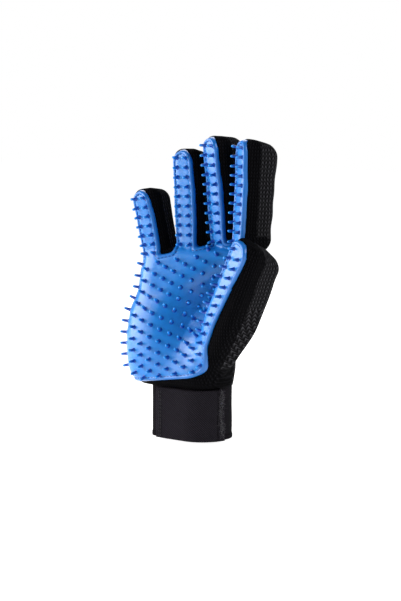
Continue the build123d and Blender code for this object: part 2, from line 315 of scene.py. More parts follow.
def palm_field(points):
    x, y, hx, hy, r = palm_local(points)
    crown = PALM_CROWN * (x / hx) ** 2 * (y < 0)
    section = rounded_box(x, y - crown, hx, hy - crown, r - 1.0)
    hollow = HOLLOW_SLOPE * (palm_hollow(x, points[:, 2]) - hy - y)
    return both(both(section, hollow, HOLLOW_EDGE_R), points[:, 2] - PALM_TOP, PALM_TOP_R)


# The digits' sections against the CAD's: how much the half width and half thickness differ at the
# first joint, how much more at the tip, and how far the centre line lies to the back.
THUMB_WIDER, THUMB_TIP_WIDER, THUMB_THICKER, THUMB_BACK = 0.4, -1.0, 1.2, 0.8
FINGER_WIDER, FINGER_TIP_WIDER = -0.2, 0.5
FINGER_THICKER, FINGER_TIP_THICKER = -0.6, 1.5
FINGER_BACK, FINGER_TIP_BACK = 0.2, 0.6
# The thumb's root narrows, thins and comes forward on its way into the palm.
ROOT_NARROWER, ROOT_THINNER, ROOT_FORWARD, ROOT_FROM = 4.0, 4.5, 2.0, 22
WAIST, WAIST_RUN = 0.35, 7.0
TIP_SHORT = 0.2
BOTTOM_R = 12.0


def digit_field(d, points):
    x, y, s = d.local(points)
    t = np.clip(s / d.tip, -1, 1)
    tipward = np.clip(t, 0, 1)
    if d.name == "thumb":
        root = ramp(-s, ROOT_FROM, THUMB_ROOT + 4)
        half_x = d.half_x + THUMB_WIDER + THUMB_TIP_WIDER * tipward - ROOT_NARROWER * root
        half_y = d.half_y + THUMB_THICKER - ROOT_THINNER * root
        y = y - THUMB_BACK + ROOT_FORWARD * root
        bottom, tip_fall = -THUMB_ROOT, THUMB_TIP_FALL
    else:
        half_x = d.half_x + FINGER_WIDER + FINGER_TIP_WIDER * t
        half_y = d.half_y + FINGER_THICKER + FINGER_TIP_THICKER * tipward
        y = y - FINGER_BACK - FINGER_TIP_BACK * tipward
        bottom, tip_fall = -ROOT_DEPTH - 8, FINGER_TIP_FALL
    half_x = half_x - WAIST * bump(s, d.second, WAIST_RUN)
    half_y = half_y - WAIST * bump(s, d.second, WAIST_RUN)
    section = rounded_box(x, y, half_x, half_y, SECTION_R)
    fall = tip_fall * np.maximum(y + half_y - 4.0, 0)
    body = both(section, s - d.tip + TIP_SHORT + fall, TIP_R)
    return both(body, bottom - s, BOTTOM_R)


WEB_BLEND = 3.0
THUMB_BLEND, THUMB_ROOT_BLEND = 3.5, 9.0
HEEL_AT, HEEL_R, HEEL_BLEND = (-22, -13, 66), 19.5, 8.0
HEEL_WIDE, HEEL_TALL = 1.25, 1.7
RIPPLE = 0.28


def hand_field(points):
    """Distance to the knit's outer face: negative inside."""
    d = palm_field(points)
    for name in FINGERS:
        d = smooth_min(d, digit_field(DIGITS[name], points), WEB_BLEND)
    thumb = DIGITS["thumb"]
    along_thumb = thumb.local(points)[2]
    d = smooth_min(d, digit_field(thumb, points), THUMB_BLEND + THUMB_ROOT_BLEND * ramp(-along_thumb, 8, 40))
    heel = points - vec(HEEL_AT).astype(points.dtype)
    heel = np.sqrt((heel[:, 0] / HEEL_WIDE) ** 2 + heel[:, 1] ** 2 + (heel[:, 2] / HEEL_TALL) ** 2) - HEEL_R
    d = smooth_min(d, heel, HEEL_BLEND)
    ripple = RIPPLE * np.sin(points[:, 2] / 3.1 + 0.6 * np.sin(points[:, 0] / 9.0))
    ripple = ripple * np.sin(points[:, 0] / 5.3 + points[:, 1] / 6.1)
    return (d + ripple * ramp(points[:, 1], -6, 10)).astype(np.float32)


# ---------------------------------------------------------------- the pad's outline

# Along the thumb from its first joint, and where the pad's outer edge lies across it.
THUMB_EDGE = np.array([(-95, -16.0), (-70, -5.0), (-58, -0.5), (-45, 2.0), (-27, 2.2), (0, 4.8), (28, 8.2)])
THUMB_STRIP_LEFT, THUMB_STRIP_SHORT, THUMB_STRIP_R = -12.2, 3.0, 9.0
# A finger's strip: its centre line, how far in from the sides and tip, its waviness, its end's radius
# against its half width, and how far it wraps round towards the back.
STRIP_CENTRE, STRIP_IN, STRIP_WAVE, STRIP_ROUNDER = -1.0, 1.5, 0.4, 0.6
STRIP_WRAP, INDEX_ROOT_WRAP = 4.6, 9.0
# Height of the pad's edge between the fingers' roots, by X.
CROTCH_X, CROTCH_Z = (-26, -20, 8, 34, 52), (137.5, 138.5, 145.5, 149.0, 148.0)


def thumb_edge_at(s):
    """The pad's edge on the thumb's outer side, across its centre line."""
    return np.interp(s, THUMB_EDGE[:, 0], THUMB_EDGE[:, 1])


def strip_outline(d, x, s, y):
    """Field of a digit's rubber strip: negative on its palm face, inside the strip's edges."""
    if d.name == "thumb":
        around = np.maximum(x - thumb_edge_at(s), THUMB_STRIP_LEFT - x)
        strip = both(around, s - (d.tip - THUMB_STRIP_SHORT), THUMB_STRIP_R)
    else:
        half = d.half_x - STRIP_IN
        wave = STRIP_WAVE * np.cos((s - d.second * 0.5) / (d.tip + 13) * 2 * math.pi)
        around = np.abs(x - STRIP_CENTRE) - half + STRIP_IN - wave
        strip = both(around, s - d.tip + STRIP_IN, half - STRIP_ROUNDER)
    wrap = STRIP_WRAP + INDEX_ROOT_WRAP * ramp(-s, 0, 14) * (d.name == "index")
    return np.maximum(strip, y + d.half_y - wrap)


def palm_side_bounds(x, y, hy, hollow):
    """Two bounds of the pad: the palm's face under the thumb, and the palm's little-finger edge."""
    palmar = y + np.where(x > 0, hy - 6.5, 1.0) - hollow
    palmar += (1 - ramp(x, 0, 18)) * np.where(x > 0, 7.5 - hy, 0)
    return palmar, y - 0.8 * hollow + 0.12 * hy


def pad_outline(points):
    """Field of the whole pad's outline, measured along the palm: negative inside it."""
    x, y, hx, hy, _ = palm_local(points)
    thumb, index = DIGITS["thumb"], DIGITS["index"]
    tx, ty, ts = thumb.local(points)
    ix, iy, _ = index.local(points)
    z = points[:, 2]
    hollow = palm_hollow(x, z) * (1 - ramp(x, hx - 16, hx - 6))
    palmar, ulnar = palm_side_bounds(x, y, hy, hollow)
    floor = PAD_FLOOR + PAD_FLOOR_SLOPE * (points[:, 0] + 38) - z
    index_side = np.maximum(ix - index.half_x + 2.2, iy + index.half_y - 5.5 - 14 * (1 - ramp(z, 136, 152)))
    thumb_root = np.where(ts < 6, tx - thumb_edge_at(ts), 40)
    radial = np.where(z > 128, index_side, np.minimum(index_side, thumb_root))
    crotch = z - np.interp(points[:, 0], CROTCH_X, CROTCH_Z)
    blob = both(both(np.maximum(ulnar, radial), floor, PAD_CORNER_R), crotch, 2.0)
    behind_thumb = ty + thumb.half_y - 5.0 - 27.0 * (1 - ramp(ts, -34, -12)) - 40.0 * (1 - ramp(tx, -26, -17))
    blob = np.maximum(blob, np.maximum(palmar, behind_thumb))
    for name in FINGERS:
        d = DIGITS[name]
        dx, dy, ds = d.local(points)
        strip = both(strip_outline(d, dx, ds, dy), -ROOT_DEPTH - 12 - ds, 1.0)
        blob = smooth_min(blob, strip, 3.2)
    thumb_strip = strip_outline(thumb, tx, ts, ty - 14 * ramp(-ts, 4, 30))
    return smooth_min(blob, both(thumb_strip, -50 - ts, 1.0), 2.5).astype(np.float32)


# ---------------------------------------------------------------- sampling and surfaces

# A field's value where it isn't sampled, and how many points are worked out at a time.
FAR = 40.0
CHUNK = 400000


class Grid:
    """Fields sampled on a regular grid, finely only near the hand's surface."""

    def __init__(self, low, high, step, band):
        self.low, self.step = vec(low), step
        coarse = 4
        cells = np.ceil((vec(high) - self.low) / (step * coarse)).astype(int)
        self.shape = tuple(cells * coarse)
        axes = [self.low[i] + (np.arange(cells[i]) + 0.5) * step * coarse for i in range(3)]
        points = np.stack(np.meshgrid(*axes, indexing="ij"), -1).reshape(-1, 3).astype(np.float32)
        rough = hand_field(points).reshape(cells)
        near = np.abs(rough) < band + step * coarse * 1.2
        block = np.ones((coarse,) * 3, int)
        self.hand = np.kron(rough, block).astype(np.float32)
        self.where = np.nonzero(np.kron(near, block))
        self.points = np.stack([self.low[i] + self.where[i] * step for i in range(3)], -1).astype(np.float32)
        self.hand[self.where] = self.evaluate(hand_field)

    def evaluate(self, function):
        chunks = np.array_split(self.points, max(len(self.points) // CHUNK, 1))
        return np.concatenate([function(chunk) for chunk in chunks])

    def full(self, function):
        """A field over the whole grid: far outside wherever it isn't sampled."""
        values = np.full(self.shape, FAR, np.float32)
        values[self.where] = self.evaluate(function)
        return values

    def sample(self, field, points):
        """Trilinear value of a field at points."""
        q = (points - self.low) / self.step
        q = np.clip(q, 0, np.array(self.shape) - 1.001)
        i = q.astype(int)
        f = (q - i).astype(np.float32)
        total = 0.0
        for corner in range(8):
            o = [(corner >> k) & 1 for k in range(3)]
            weight = 1.0
            for k in range(3):
                weight = weight * (f[:, k] if o[k] else 1 - f[:, k])
            total = total + weight * field[i[:, 0] + o[0], i[:, 1] + o[1], i[:, 2] + o[2]]
        return total

    def gradient(self, field, points):
        h = self.step * 0.75
        ends = [[self.sample(field, points + side * h * axis) for side in (1, -1)] for axis in np.eye(3)]
        return np.stack([ahead - behind for ahead, behind in ends], -1) / (2 * h)

    def settle(self, field, points, level=0.0, rounds=3):
        """Points moved onto a level of a field, and the unit directions out of it."""
        points = points.copy()
        for _ in range(rounds):
            g = self.gradient(field, points)
            size = np.maximum((g * g).sum(1), 0.05)
            points -= g * ((self.sample(field, points) - level) / size)[:, None]
        g = self.gradient(field, points)
        return points, g / np.maximum(np.linalg.norm(g, axis=1), 1e-6)[:, None]


def surface_net(values, low, step):
    """Vertices and quads of a field's zero surface."""
    inside = values < 0
    n = np.array(values.shape) - 1
    corners = [(i, j, k) for i in (0, 1) for j in (0, 1) for k in (0, 1)]
    count = np.zeros(tuple(n), np.int8)
    for i, j, k in corners:
        count += inside[i:n[0] + i, j:n[1] + j, k:n[2] + k]
    active = (count > 0) & (count < 8)
    cells = np.argwhere(active)
    index = np.full(active.shape, -1, np.int64)
    index[active] = np.arange(len(cells))
    total = np.zeros((len(cells), 3))
    number = np.zeros(len(cells))
    for a in corners:
        for axis in range(3):
            if a[axis]:
                continue
            b = list(a)
            b[axis] = 1
            va = values[tuple((cells + a).T)]
            vb = values[tuple((cells + b).T)]
            cross = (va < 0) != (vb < 0)
            t = np.where(cross, va / np.where(cross, va - vb, 1), 0)
            at = np.array(a, float)[None] + t[:, None] * (np.array(b) - np.array(a))[None]
            total += at * cross[:, None]
            number += cross
    verts = low + (cells + total / number[:, None]) * step
    quads = []
    quads = []
    for axis in range(3):
        u, v = [k for k in range(3) if k != axis]
        first = [slice(0, None)] * 3
        second = [slice(0, None)] * 3
        first[axis], second[axis] = slice(0, -1), slice(1, None)
        low_in = inside[tuple(first)]
        change = low_in != inside[tuple(second)]
        for k in (u, v):
            edge = [slice(None)] * 3
            for side in (0, -1):
                edge[k] = side
                change[tuple(edge)] = False
        ids = np.argwhere(change)
        du, dv = np.eye(3, dtype=int)[u], np.eye(3, dtype=int)[v]
        quad = np.stack([index[tuple((ids - back).T)] for back in (du + dv, dv, 0, du)], 1)
        flip = low_in[tuple(ids.T)] == (axis == 1)
        quad[flip] = quad[flip][:, ::-1]
        quads.append(quad)
    quads = np.concatenate(quads)
    return verts, quads[(quads >= 0).all(1)]


def relax(verts, quads, rounds, strength=0.5):
    """Even out a quad mesh along its own edges."""
    a = quads.ravel()
    b = np.roll(quads, -1, 1).ravel()
    number = np.bincount(a, minlength=len(verts)) + np.bincount(b, minlength=len(verts))
    number = np.maximum(number, 1)[:, None]
    for _ in range(rounds):
        total = np.zeros_like(verts)
        for k in range(3):
            total[:, k] = np.bincount(a, verts[b, k], len(verts)) + np.bincount(b, verts[a, k], len(verts))
        verts = verts + strength * (total / number - verts)
    return verts


# ---------------------------------------------------------------- regions: which digit part a face is cut into

THUMB_LEAN_DEG = 28
DIGIT_SIDE_REACH, DIGIT_BACK_REACH = 4.5, 7.5


def zone_axis(d):
    """What a digit's first zone runs along: the thumb's leans away, to leave the web on the hand."""
    if d.name != "thumb":
        return d.z
    lean = math.radians(THUMB_LEAN_DEG)
    return unit(d.z * math.cos(lean) + d.x * math.sin(lean))


def lower_end(d):
    """How far along its zone axis a digit's lower zone reaches."""
    axis = zone_axis(d)
    return ZONES[d.name][1] * (axis @ d.z) - (d.half_x + 0.5) * (axis @ d.x)


def regions(points):
    """For each point, 0 for the hand, 2k+1 and 2k+2 for the lower and upper part of digit k."""
    out = np.zeros(len(points), int)
    for k, name in enumerate(NAMES):
        d = DIGITS[name]
        x, y, s = d.local(points)
        along = (points - d.origin) @ zone_axis(d)
        start, cut, _ = ZONES[name]
        mine = (np.abs(x) < d.half_x + DIGIT_SIDE_REACH) & (np.abs(y) < d.half_y + DIGIT_BACK_REACH)
        mine &= along > start
        if name != "thumb":
            for other in (DIGITS[n] for n in FINGERS if n != name):
                ox = other.local(points)[0]
                mine &= np.abs(x) / d.half_x < np.abs(ox) / other.half_x + 1e-6
        upper = s > cut if name == "thumb" else along > cut
        out[mine] = 2 * k + 1
        out[mine & upper] = 2 * k + 2
    return out


def digit_name(index):
    return NAMES[(index - 1) // 2]


def digit_parts(points, region):
    """Each digit, the points in its own frame, and which of them are in its regions."""
    for k, name in enumerate(NAMES):
        d = DIGITS[name]
        yield (d, *d.local(points), (region - 1) // 2 == k)


def region_name(index):
    return f"{digit_name(index)}_{'lower' if index % 2 else 'upper'}" if index else "palm"


def carry(obj, index):
    """Attach a piece to the hand, or, for a digit's piece, bake its transform in place."""
    if index == 0:
        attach(obj, "hand")
        return
    d = DIGITS[digit_name(index)]
    start, cut, end = ZONES[d.name]
    if index % 2:
        low, high = (d.origin + zone_axis(d) * s for s in (start, lower_end(d)))
        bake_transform(obj)
    else:
        d.world(0, 0, cut) * MM
        d.world(0, 0, end) * MM
        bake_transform(obj)


# ---------------------------------------------------------------- meshes


def build(name, verts, quads, materials, indices=None, **attributes):
    """Mesh object in metres from millimetres, with per-vertex attributes (vectors or numbers)."""
    mesh = bpy.data.meshes.new(name)
    verts = np.asarray(verts, float) * MM
    mesh.vertices.add(len(verts))
    mesh.vertices.foreach_set("co", verts.ravel())
    mesh.loops.add(quads.size)
    mesh.loops.foreach_set("vertex_index", quads.ravel().astype(np.int32))
    mesh.polygons.add(len(quads))
    mesh.polygons.foreach_set("loop_start", np.arange(0, quads.size, 4, dtype=np.int32))
    for m in materials:
        mesh.materials.append(m)
    if indices is not None:
        mesh.polygons.foreach_set("material_index", np.asarray(indices, np.int32))
    mesh.polygons.foreach_set("use_smooth", np.full(len(quads), True))
    for key, values in attributes.items():
        values = np.asarray(values, np.float32)
        kind, field = ("FLOAT_VECTOR", "vector") if values.ndim == 2 else ("FLOAT", "value")
        mesh.attributes.new(key, kind, "POINT").data.foreach_set(field, values.ravel())
    mesh.update()
    mesh.validate()
    obj = bpy.data.objects.new(name, mesh)
    bpy.context.scene.collection.objects.link(obj)
    return obj


def used(verts, faces, *extra):
    """Drop the vertices no face uses."""
    ids, inverse = np.unique(faces, return_inverse=True)
    return (verts[ids], inverse.reshape(faces.shape), *[e[ids] for e in extra])


def islands(quads, count):
    """Label of each vertex's connected piece."""
    label = np.arange(count)
    while True:
        low = label[quads].min(1)
        new = label.copy()
        for k in range(4):
            np.minimum.at(new, quads[:, k], low)
        new = new[new]
        if (new == label).all():
            return label
        label = new


def largest(verts, quads):
    """The biggest connected piece of a mesh."""
    label = islands(quads, len(verts))
    main = np.bincount(label).argmax()
    return used(verts, quads[label[quads[:, 0]] == main])


def vertex_normals(verts, quads):
    a, b, c, d = (verts[quads[:, k]] for k in range(4))
    n = np.cross(c - a, d - b)
    total = np.zeros_like(verts)
    for k in range(4):
        np.add.at(total, quads[:, k], n)
    return total / np.maximum(np.linalg.norm(total, axis=1), 1e-9)[:, None]


def thicken(verts, quads, wall):
    """Give a sheet a wall behind it, closed all round its edge."""
    normals = vertex_normals(verts, quads)
    n = len(verts)
    edges = {(q[k], q[(k + 1) % 4]): True for q in quads for k in range(4)}
    rim = [(b, a, a + n, b + n) for a, b in edges if (b, a) not in edges]
    both_sides = np.concatenate([quads, quads[:, ::-1] + n, np.array(rim, int).reshape(-1, 4)])
    return np.concatenate([verts, verts - normals * wall]), both_sides


def sheet_quads(across, up):
    """Faces of a sheet whose vertices run up first, then across."""
    i, j = np.meshgrid(np.arange(across), np.arange(up), indexing="ij")
    a = (i * (up + 1) + j).ravel()
    return np.stack([a, a + 1, a + up + 2, a + up + 1], 1)


def tube_quads(rings, segments, base=0):
    """Faces between the rings of a tube whose vertices start at base."""
    quads = []
    for k in range(base, base + (rings - 1) * segments, segments):
        for j in range(segments):
            a, b = k + j, k + (j + 1) % segments
            quads.append((a, b, b + segments, a + segments))
    return quads


def profile_mesh(rings, segments):
    """A turned shape along +Z from (radius, height) rings, closed by a last ring's small cap."""
    turn = np.arange(segments) * 2 * math.pi / segments
    circles = [np.stack([r * np.cos(turn), r * np.sin(turn), np.full(segments, h)], -1) for r, h in rings]
    verts = np.concatenate(circles)
    last = (len(rings) - 1) * segments
    half = segments // 2
    end = last + segments - 1
    cap = [(last + j, last + j + 1, end - 1 - j, end - j) for j in range(half - 1)]
    return verts, np.array(tube_quads(len(rings), segments) + cap)


def axes_for(normals, lead):
    """Frames whose z is each normal and whose x follows a leading direction."""
    x = lead - normals * (lead * normals).sum(1)[:, None]
    x /= np.maximum(np.linalg.norm(x, axis=1), 1e-9)[:, None]
    return x, np.cross(normals, x)


def place_copies(shape, quads, points, normals, lead):
    """Copies of a small shape standing on points along their normals."""
    x, y = axes_for(normals, lead)
    verts = points[:, None] + x[:, None] * shape[None, :, 0:1] + y[:, None] * shape[None, :, 1:2]
    verts = verts + normals[:, None] * shape[None, :, 2:3]
    offsets = np.arange(len(points))[:, None, None] * len(shape)
    return verts.reshape(-1, 3), (quads[None] + offsets).reshape(-1, 4)


# ---------------------------------------------------------------- materials


class Shader:
    """A material's node tree, with short ways to add to it."""

    def __init__(self, name):
        self.material = bpy.data.materials.new(name)
        self.material.use_nodes = True
        self.tree = self.material.node_tree
        self.surface = self.tree.nodes["Principled BSDF"]

    def set(self, **values):
        for key, value in values.items():
            self.link(value, self.surface.inputs[key.replace("_", " ")])

    def link(self, value, socket):
        if isinstance(value, bpy.types.NodeSocket):
            self.tree.links.new(value, socket)
        else:
            socket.default_value = value

    def math(self, operation, *values, clamp=False):
        node = self.tree.nodes.new("ShaderNodeMath")
        node.operation = operation
        node.use_clamp = clamp
        for k, value in enumerate(values):
            self.link(value, node.inputs[k])
        return node.outputs[0]

    def plus(self, a, b):
        return self.math("ADD", a, b)

    def times(self, a, b):
        return self.math("MULTIPLY", a, b)

    def over(self, a, b, clamp=False):
        return self.math("DIVIDE", a, b, clamp=clamp)

    def minus(self, a, b, clamp=False):
        return self.math("SUBTRACT", a, b, clamp=clamp)

    def swing(self, turns, operation="SINE"):
        """0 to 1 and back with every turn."""
        return self.times(self.plus(self.math(operation, self.times(turns, 2 * math.pi)), 1.0), 0.5)

    def attribute(self, name, output):
        node = self.tree.nodes.new("ShaderNodeAttribute")
        node.attribute_name = name
        return node.outputs[output]

    def vector(self, name):
        split = self.tree.nodes.new("ShaderNodeSeparateXYZ")
        self.link(self.attribute(name, "Vector"), split.inputs[0])
        return split.outputs

    def noise(self, scale, detail=2.0):
        node = self.tree.nodes.new("ShaderNodeTexNoise")
        node.inputs["Scale"].default_value = scale
        node.inputs["Detail"].default_value = detail
        self.link(self.attribute("rest", "Vector"), node.inputs["Vector"])
        return node.outputs["Fac"]

    def mix(self, fac, a, b):
        node = self.tree.nodes.new("ShaderNodeMix")
        node.data_type = "RGBA"
        self.link(fac, node.inputs["Factor"])
        for value, socket in ((a, node.inputs[6]), (b, node.inputs[7])):
            self.link((*value, 1) if isinstance(value, tuple) else value, socket)
        return node.outputs[2]

    def bump(self, height, distance, strength):
        node = self.tree.nodes.new("ShaderNodeBump")
        node.inputs["Distance"].default_value = distance * MM
        node.inputs["Strength"].default_value = strength
        self.link(height, node.inputs["Height"])
        self.link(node.outputs[0], self.surface.inputs["Normal"])


# The first two are the rubber's own tone, varied at random; the rim colour is painted shade: the bead round
# the pad's edge is coloured darker blue for the shade on the strips' side walls.
RUBBER_DEEP, RUBBER_PALE, RUBBER_RIM_SHADE = (0.001, 0.150, 0.50), (0.002, 0.205, 0.61), (0.001, 0.105, 0.42)
# The nub colours are painted light: a darker foot is painted shade round each nub's base, and a paler top is
# a painted highlight on its tip.
NUB_SHADED_FOOT_COLOR, NUB_LIT_TOP_COLOR = (0.001, 0.065, 0.38), (0.002, 0.25, 0.72)
RIM_SHADE_WIDTH = 2.6
NUB_MARK = -3.0
NUB_LIT_FROM, NUB_LIT_RUN = 2.6, 2.2


def rubber_material():
    """Blue rubber: the "edge" attribute is the distance in from the rim, or NUB_MARK less a nub's height."""
    s = Shader("moulded_rubber")
    edge = s.attribute("edge", "Fac")
    # Painted shade: the colour darkens towards the bead rim.
    rim = s.minus(1.0, s.over(edge, RIM_SHADE_WIDTH, clamp=True), clamp=True)
    body = s.mix(s.noise(0.22), RUBBER_DEEP, RUBBER_PALE)
    body = s.mix(s.times(rim, 0.7), body, RUBBER_RIM_SHADE)
    # Painted shade and highlight: each nub is darker at its foot and paler towards its top.
    nub = s.minus(NUB_MARK + 1.0, edge, clamp=True)
    high = s.over(s.minus(NUB_MARK - NUB_LIT_FROM, edge), NUB_LIT_RUN, clamp=True)
    color = s.mix(nub, body, s.mix(high, NUB_SHADED_FOOT_COLOR, NUB_LIT_TOP_COLOR))
    s.set(Base_Color=color, Roughness=s.plus(0.27, s.times(s.noise(0.9), 0.12)))
    s.set(Subsurface_Weight=0.08, Subsurface_Radius=(0.4, 0.9, 2.2), Subsurface_Scale=0.0015)
    s.set(Coat_Weight=0.4, Coat_Roughness=0.28, Specular_IOR_Level=0.35)
    s.bump(s.plus(s.noise(1.4, 3.0), s.times(s.noise(0.12), 4.0)), 0.16, 0.5)
    return s.material


def knit_material(name, dark, light, pitch, stitch, sheen):
    """Columns of chained stitches, in millimetres across (u) and along (v) the knit."""
    s = Shader(name)
    u, v, _ = s.vector("weave")
    wobble = s.times(s.minus(s.noise(0.3), 0.5), 0.9)
    column = s.minus(s.math("FRACT", s.over(s.plus(u, wobble), pitch)), 0.5)
    along = s.plus(s.over(v, stitch), s.times(s.math("ABSOLUTE", column), 1.9))
    rib = s.swing(column, "COSINE")
    height = s.times(s.math("POWER", s.swing(along), 0.7), s.plus(0.35, s.times(rib, 0.65)))
    fuzz = s.noise(2.3, 3.0)
    # Painted light: raised stitches are coloured lighter and the valleys between them darker, as highlight
    # and shade; the noise adds random tone.
    thread_light_and_fuzz = s.times(s.math("POWER", height, 1.6), s.plus(0.35, fuzz))
    s.set(Base_Color=s.mix(thread_light_and_fuzz, dark, light), Roughness=0.92, Specular_IOR_Level=0.02)
    s.set(Sheen_Weight=sheen, Sheen_Roughness=0.5, Sheen_Tint=(0.62, 0.6, 0.7, 1))
    s.bump(s.plus(height, s.times(fuzz, 0.25)), 0.55, 0.9)
    return s.material


def twill_material(name, dark, light, pitch):
    """Diagonal ribs of woven tape."""
    s = Shader(name)
    u, v, _ = s.vector("weave")
    rib = s.swing(s.plus(s.over(v, pitch), s.over(u, pitch * 1.35)))
    weft = s.swing(s.over(v, 0.62))
    height = s.plus(s.times(rib, 0.75), s.times(weft, 0.25))
    fuzz = s.noise(1.8, 3.0)
    # Painted light: the ribs' tops are coloured lighter and the valleys between them darker, as highlight and
    # shade; the noise adds random tone.
    thread_light_and_fuzz = s.times(s.math("POWER", height, 2.0), s.plus(0.2, s.times(fuzz, 1.1)))
    s.set(Base_Color=s.mix(thread_light_and_fuzz, dark, light), Roughness=0.9, Specular_IOR_Level=0.03)
    s.bump(s.plus(height, s.times(fuzz, 0.3)), 0.4, 0.9)
    return s.material


def plain_material(name, color, roughness, sheen=0.0):
    s = Shader(name)
    s.set(Base_Color=(*color, 1), Roughness=roughness, Sheen_Weight=sheen)
    return s.material


RUBBER = rubber_material()
PAD_THREAD = plain_material("pad_thread", (0.004, 0.035, 0.22), 0.75)
# The knit materials' lighter colour is a painted highlight on the raised stitches.
KNIT = knit_material("knit_back", (0.0008, 0.0008, 0.001), (0.05, 0.05, 0.055), 2.7, 3.1, 0.01)
GUSSET = knit_material("gusset_knit", (0.0006, 0.0006, 0.0008), (0.010, 0.010, 0.012), 1.8, 2.6, 0.0)
LINING = plain_material("lining_cloth", (0.012, 0.012, 0.014), 0.95)
# The twill materials' lighter colour is a painted highlight on the ribs' tops.
TWILL = twill_material("cuff_twill", (0.0003, 0.0003, 0.0004), (0.030, 0.027, 0.034), 1.5)
TAPE = twill_material("strap_twill", (0.0003, 0.0003, 0.0004), (0.050, 0.045, 0.058), 1.35)
HOOKS = plain_material("hook_loop", (0.006, 0.006, 0.0065), 0.95, 0.1)
THREAD = plain_material("seam_thread", (0.05, 0.048, 0.055), 0.8, 0.2)


# ---------------------------------------------------------------- knit shell and lining

HAND_BOX = (-58.0, -48.0, 36.0), (100.0, 44.0, 238.0)
CUFF_MEETS = 41.0
CUFF_TUCK = 1.4
# The seams between gusset and back: their height over a digit's palm face, or part of the palm's thickness.
SEAM_BACK, THUMB_SEAM_BACK, PALM_SEAM = 9.5, 14.0, 0.42
# Under the pad, how far in from its edge the knit runs and where the lining takes over.
KNIT_UNDER_PAD, LINING_FROM = 2.4, 1.0


def weave_coordinates(points, region):
    """Millimetres across and along the knit, by region."""
    zero = np.zeros(len(points))
    weave = np.stack([palm_local(points.astype(np.float32))[0], points[:, 2], zero], -1)
    for d, dx, dy, ds, mine in digit_parts(points, region):
        around = np.arctan2(dx, dy) * (d.half_x + d.half_y) / 2
        weave[mine] = np.stack([around, ds, zero], -1)[mine]
    return weave


def gusset_mask(points, region):
    """Where the darker side strips run: a band between the pad's edge and the knit back."""
    _, y, _, hy, _ = palm_local(points.astype(np.float32))
    mask = y < PALM_SEAM * hy
    for d, dx, dy, ds, mine in digit_parts(points, region):
        if d.name == "thumb":
            mine = mine | ((ds < 2) & (ds > -62) & (dx > -4) & (region == 0))
        seam = THUMB_SEAM_BACK if d.name == "thumb" else SEAM_BACK
        mask = np.where(mine, dy < -d.half_y + seam, mask)
    return mask


def make_knit(grid, outline):
    verts, quads = largest(*surface_net(grid.hand, grid.low, grid.step))
    verts, normals = grid.settle(grid.hand, relax(verts, quads, 2))
    quads = quads[(verts[quads][:, :, 2] > CUFF_MEETS - CUFF_TUCK).all(1)]
    verts, quads, normals = used(verts, quads, normals)
    verts[:, 2] = np.maximum(verts[:, 2], CUFF_MEETS)
    centre = verts[quads].mean(1)
    region = regions(centre)
    face_edge = grid.sample(outline, verts)[quads].mean(1)
    mask = gusset_mask(centre, region)
    inner = verts - normals * KNIT_WALL
    for index in np.unique(region):
        weave = weave_coordinates(verts, np.full(len(verts), index))
        mine = region == index
        shown = mine & (face_edge > -KNIT_UNDER_PAD)
        outer_q, inner_q = quads[shown], quads[mine] if index else quads[shown]
        faces = np.concatenate([outer_q, inner_q[:, ::-1] + len(verts)])
        slots = np.concatenate([mask[shown], np.full(len(inner_q), 2)])
        v, f, w = used(np.concatenate([verts, inner]), faces, np.concatenate([weave, weave]))
        obj = build(f"knit_{region_name(index)}", v, f, [KNIT, GUSSET, LINING], slots, weave=w, rest=v)
        carry(obj, index)
        if index == 0:
            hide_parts("palm_back", "palm_side_strips")
            hidden = quads[mine & (face_edge <= -LINING_FROM)]
            lining = build("palm_lining_cloth", *used(inner, hidden[:, ::-1]), [LINING])
            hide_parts("palm_lining")
            carry(lining, 0)
            continue
        digit = digit_name(index)
        if index % 2:
            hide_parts(f"{digit}_base_back", f"{digit}_base_sides", f"{digit}_knit_folds")
        else:
            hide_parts(f"{digit}_tip_back", f"{digit}_tip_sides")


# ---------------------------------------------------------------- the rubber pad

SKIN_UNDER = 0.35
GROOVE, GROOVE_RUN = 0.35, 0.75
PAD_BLEND = 0.45
MARCH = np.arange(0, 48, 0.4)


def pad_field(hand, outline):
    """The rubber sheet with a groove for its stitches, and the bead rim round it."""
    core = both(hand - PAD_THICK, outline, 0.7)
    groove = GROOVE * np.exp(-(((outline + STITCH_INSET) / GROOVE_RUN) ** 2))
    core = core + groove * (hand > 0.3)
    bead = np.hypot(hand - PAD_THICK + BEAD_SINK, outline + BEAD_R + 0.1) - BEAD_R
    under = -(hand + SKIN_UNDER)
    return smooth_min(np.maximum(core, under), np.maximum(bead, under), PAD_BLEND)


def march(points, directions, level):
    """First point inwards from each start where the hand's field falls below a level."""
    line = points[:, None] + directions[:, None] * MARCH[None, :, None]
    values = hand_field(line.reshape(-1, 3).astype(np.float32)).reshape(len(points), -1)
    return line[np.arange(len(points)), (values < level).argmax(1)]


NUB_RINGS = [
    (NUB_FOOT_R + 0.15, -0.35), (NUB_FOOT_R, 0.05), (NUB_FOOT_R - 0.38, 0.32), (NUB_R + 0.08, 0.8),
    (NUB_R, 1.9), (NUB_R - 0.07, 3.4), (NUB_R - 0.15, 4.4), (NUB_R - 0.36, 4.9), (NUB_R - 0.75, NUB_HEIGHT),
]
THREAD_RINGS = [(0.12, -0.3), (0.3, -0.12), (0.32, 0.1), (0.2, 0.26)]
SEED_OUT = 6
FIRST_ROW_ABOVE_ROOT, PINKY_FIRST_ROW, LAST_ROW_FROM_TIP = 1.5, -9.0, 7.4
THUMB_FIRST_ROW, THUMB_LAST_ROW_FROM_TIP = -47.0, 6.0
THUMB_COLUMNS = ((5.8, 0), (14.2, THUMB_PITCH / 2))


def stitch_shape(stretch):
    """One stitch lying along x."""
    shape, quads = profile_mesh(THREAD_RINGS, 8)
    shape[:, 0] *= stretch
    return shape, quads


